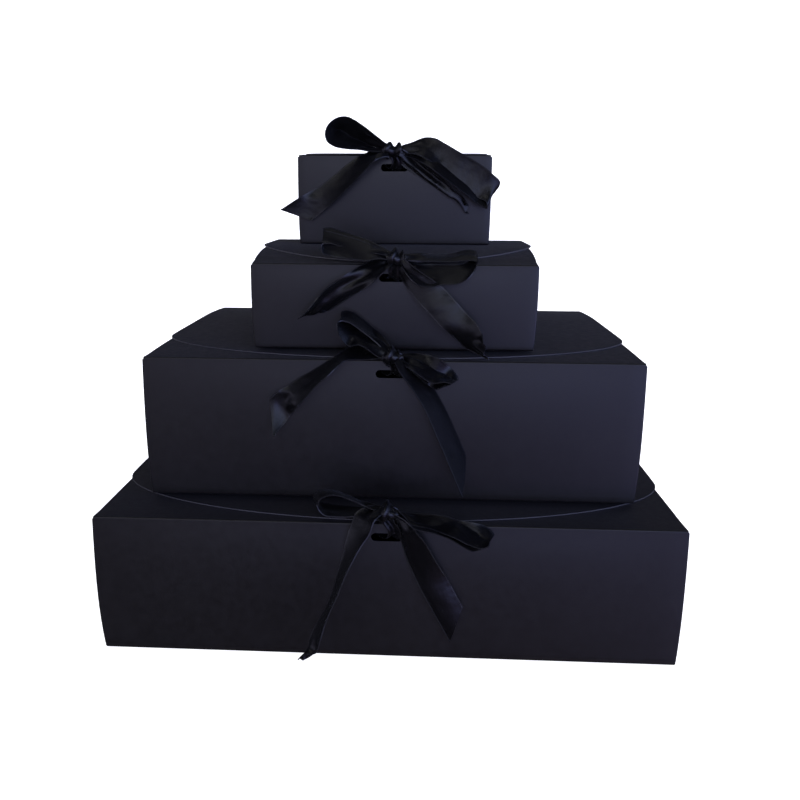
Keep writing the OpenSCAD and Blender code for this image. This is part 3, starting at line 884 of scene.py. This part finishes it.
def band(i):
    """The ribbon's run through the box: from the knot down the front into the wall slot, up behind it through the front flap and the lid, and forward over the lid to the knot."""
    kx, ky, kz = KNOT[i][:3]
    s = STRAP[i]
    pts = [(kx, 3.6, -2.6, kz - 1.0), (kx + (s - kx) * 0.4, 3.4, -2.4, (kz - 4) * 0.5), (s, 3.3, -1.8, -3.4), (s, 3.5, -0.9, -6.4), (s * 0.8, 4.0, 0.6, -8.2),
           (s * 0.4, 5.2, 3.4, -8.2), (0, 6.8, 8.2, -6.2), (0, 7.4, 11.4, -3.2), (0, 7.5, 12.2, 0.0), (0, 7.4, 11.3, 1.9), (0.2 * kx, 6.6, 8.0, 1.9), (0.6 * kx, 5.2, 4.2, 2.0 + 0.25 * kz), (kx, 4.0, 1.4, kz - 0.6)]
    rails = [(x - h, y, z, x + h, y, z) for x, h, y, z in pts]
    return strip("ribbon_through_slots", i, rails, NAMES[i] + "_tray", cup=0.0, pleats=2, seed=1 + i, wave=0.1, replaces=(NAMES[i] + "_ribbon_band",))


def knot(i):
    """The knot: a turn of pleated ribbon drawn tight round the loops, with a second, shorter turn crossing it."""
    kx, ky, kz, h, ry, rz = KNOT[i]
    a = strip("bow_knot_turn", i, ring_rails(kx, ky, kz, ry, rz, h, lean=0.9, pinch=0.35), NAMES[i] + "_tray", deep=2.0, cup=0.9, pleats=2, seed=4 + i, wave=0.7, replaces=(NAMES[i] + "_bow_knot",))
    b = strip("bow_knot_core", i, ring_rails(kx + 0.6, ky + 0.1, kz - 0.4, ry - 1.0, rz - 0.9, h + 1.6, n=14, lean=-1.4, pinch=0.5), NAMES[i] + "_tray", cup=0.8, pleats=2, seed=9 + i, wave=0.5)
    return a, b


DULL = (("large", "right_tail"), ("small", "left_loop"))       # strips that turn their woven back outwards
for i, p in enumerate(NAMES):
    tray(i)
    tabs(i)
    for kind in ("front", "left", "right", "lid"):
        flap(i, kind)
    band(i)
    knot(i)
    for j, k in enumerate(("left_loop", "right_loop", "left_tail", "right_tail")):
        strip("bow_" + k, i, RAILS[p][k], p + "_tray", faces=[REVERSE] if (p, k) in DULL else None, deep=2.4 if (p, k) == ("small", "right_tail") else 1.3, cup=CUP[k] * (-1 if k == "left_tail" else 1), pleats=3, seed=2.0 * i + j,
              replaces=(p + ("_bow_loops" if "loop" in k else "_bow_tails"),))

# ---------------------------------------------------------------- stage, light, camera
floor_mat, nt, b = material("studio_paper")
b.inputs["Base Color"].default_value = (0.86, 0.86, 0.86, 1)
b.inputs["Emission Color"].default_value = (1, 1, 1, 1)
b.inputs["Emission Strength"].default_value = 1.0        # a softly lit table
b.inputs["Roughness"].default_value = 0.9
b.inputs["Specular IOR Level"].default_value = 0.1
grain = node(nt, "ShaderNodeTexNoise", Scale=300.0, Detail=2.0)
gb = node(nt, "ShaderNodeBump", Strength=0.02)
nt.links.new(grain.outputs["Fac"], gb.inputs["Height"])
nt.links.new(gb.outputs["Normal"], b.inputs["Normal"])
prof = [(-14.0, 0.0), (1.2, 0.0)] + [(1.2 + 0.9 * math.sin(math.pi / 2 * k / 16), 0.9 - 0.9 * math.cos(math.pi / 2 * k / 16)) for k in range(1, 17)] + [(2.1, 6.0)]
sv = [(x * 1000, y * 1000, z * 1000) for y, z in prof for x in (-12.0, 12.0)]
sf = [(2 * k, 2 * k + 1, 2 * k + 3, 2 * k + 2) for k in range(len(prof) - 1)]
stage = to_object("studio_sweep", sv, sf, [floor_mat])

stage.visible_glossy = False        # the card mirrors the soft studio surround, not the paper

# a white surround far off, only so that views from the side and back have a plain backdrop too
ring = [(10.5 + math.sin(math.pi / 2 * k / 8), 1 - math.cos(math.pi / 2 * k / 8)) for k in range(9)] + [(11.5, 9.0)]
rv = [(r * 1000 * math.cos(2 * math.pi * a / 64), r * 1000 * math.sin(2 * math.pi * a / 64), z * 1000 + 1) for r, z in ring for a in range(64)]
rf = [(j * 64 + a, j * 64 + (a + 1) % 64, (j + 1) * 64 + (a + 1) % 64, (j + 1) * 64 + a) for j in range(len(ring) - 1) for a in range(64)]
surround = to_object("studio_surround", rv, rf, [floor_mat])
surround.visible_glossy = surround.visible_diffuse = surround.visible_shadow = False

world = bpy.data.worlds.new("studio")
bpy.context.scene.world = world
world.use_nodes = True
wt = world.node_tree
bg = wt.nodes["Background"]
wco = node(wt, "ShaderNodeTexCoord")
wsep = node(wt, "ShaderNodeSeparateXYZ")
wt.links.new(wco.outputs["Generated"], wsep.inputs["Vector"])


def half_share(socket, low, high):
    n = node(wt, "ShaderNodeMapRange")
    n.inputs["From Min"].default_value = low
    n.inputs["From Max"].default_value = high
    wt.links.new(socket, n.inputs["Value"])
    return n.outputs["Result"]


left = ramp(wt, [(0.0, (0.003, 0.0015, 0.001)), (0.22, (0.0035, 0.002, 0.0015)), (0.30, (0.009, 0.007, 0.010)), (0.38, (0.031, 0.029, 0.043)), (0.46, (0.115, 0.110, 0.165)), (0.55, (0.180, 0.175, 0.25)), (0.63, (0.15, 0.15, 0.205)), (0.72, (0.03, 0.03, 0.043)), (0.85, (0.014, 0.014, 0.02)), (1.0, (0.014, 0.014, 0.018))])
right = ramp(wt, [(0.0, (0.010, 0.006, 0.005)), (0.22, (0.038, 0.027, 0.032)), (0.30, (0.095, 0.078, 0.14)), (0.38, (0.165, 0.16, 0.35)), (0.46, (0.29, 0.32, 0.68)), (0.55, (0.37, 0.44, 0.86)), (0.63, (0.31, 0.39, 0.74)), (0.72, (0.045, 0.06, 0.12)), (0.85, (0.014, 0.016, 0.026)), (1.0, (0.014, 0.014, 0.018))])
height = half_share(wsep.outputs["Z"], -1.0, 1.0)
side = half_share(wsep.outputs["X"], -0.12, 0.45)
wt.links.new(height, left.inputs["Fac"])
wt.links.new(height, right.inputs["Fac"])
wmix = node(wt, "ShaderNodeMixRGB")
wt.links.new(left.outputs["Color"], wmix.inputs["Color1"])
wt.links.new(right.outputs["Color"], wmix.inputs["Color2"])
wt.links.new(side, wmix.inputs["Fac"])
# the room behind the cartons is dim, so their lids stay dark at a low view
back = half_share(wsep.outputs["Y"], -0.15, 0.35)
dim = node(wt, "ShaderNodeMixRGB")
dim.inputs["Color2"].default_value = (0.004, 0.004, 0.0065, 1)
wt.links.new(wmix.outputs["Color"], dim.inputs["Color1"])
wt.links.new(back, dim.inputs["Fac"])
wt.links.new(dim.outputs["Color"], bg.inputs["Color"])
bg.inputs["Strength"].default_value = 4.4


def softbox(name, loc, target, size, power, colour=(1, 1, 1)):
    li = bpy.data.lights.new(name, "AREA")
    li.shape = "RECTANGLE"
    li.size, li.size_y = size
    li.energy = power
    li.color = colour
    o = bpy.data.objects.new(name, li)
    o.location = loc
    o.rotation_euler = (Vector(target) - Vector(loc)).to_track_quat("-Z", "Y").to_euler()
    bpy.context.scene.collection.objects.link(o)
    return o


softbox("front_softbox", (0.3, -2.3, 1.0), (0, 0, 0.15), (2.0, 0.6), 5, (0.90, 0.95, 1.0))
softbox("key_softbox", (-0.9, -1.2, 1.6), (0, 0, 0.1), (0.7, 0.5), 2.5, (1.0, 1.0, 1.0))
softbox("back_light", (0.2, 0.9, 2.6), (0, 0.9, 0.0), (3.2, 1.8), 4)
bpy.context.scene.view_settings.view_transform = "Standard"

cam_data = bpy.data.cameras.new("camera")
cam_data.lens = 41.27
cam_data.sensor_width = 36.0
cam_data.shift_x = 0.0459
cam_data.clip_start = 0.01
cam = bpy.data.objects.new("camera", cam_data)
bpy.context.scene.collection.objects.link(cam)
yaw, pitch, roll = -0.061, 0.225, 0.003
f = Vector((math.sin(yaw) * math.cos(pitch), math.cos(yaw) * math.cos(pitch), -math.sin(pitch)))
r = Vector((math.cos(yaw), -math.sin(yaw), 0))
u = r.cross(f)
r2 = math.cos(roll) * r + math.sin(roll) * u
u2 = -math.sin(roll) * r + math.cos(roll) * u
m = Matrix((r2, u2, -f)).transposed().to_4x4()
m.translation = Vector((0.015283, -0.583831, 0.247149))
cam.matrix_world = m
bpy.context.scene.camera = cam

print("ribbon lengths, mm:", json.dumps(LENGTHS))
print("shares", json.dumps(SHARES))
bpy.context.view_layer.update()
